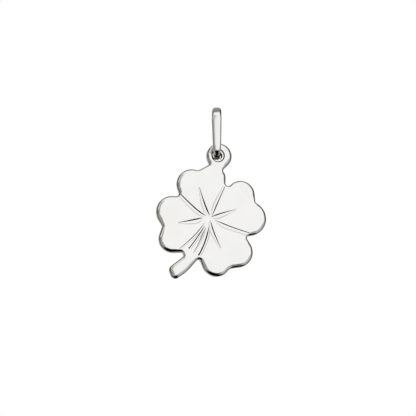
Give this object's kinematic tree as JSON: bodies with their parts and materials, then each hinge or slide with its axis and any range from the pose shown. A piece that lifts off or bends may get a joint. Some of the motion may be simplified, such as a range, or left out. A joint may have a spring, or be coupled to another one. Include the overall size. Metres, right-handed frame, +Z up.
{
  "type": "four-leaf clover pendant",
  "caption": "Flat polished silver clover charm with a short stem, engraved veins and a round eyelet, hanging in an oval wire bail.",
  "frame": {"origin": "top of the bail's inside, on its middle line, where a chain runs through and carries the pendant", "axes": "+Z up, front of the clover faces -Y, +X to the right seen from the front; the clover's plate stands in the XZ plane"},
  "size_m": [0.0118, 0.0034, 0.0184],
  "materials": {
    "clover_silver": "mirror-polished silver with fine hairline scratches",
    "bail_silver": "polished silver wire"
  },
  "bodies": {
    "bail": {"bail": "bail_silver"},
    "clover": {"clover": "clover_silver"}
  },
  "joints": [
    {"name": "clover_swing", "type": "hinge", "parent": "bail", "child": "clover", "pos_m": [0, 0, -0.00429], "axis": [0, 1, 0], "range_deg": [-120, 108]}
  ]
}
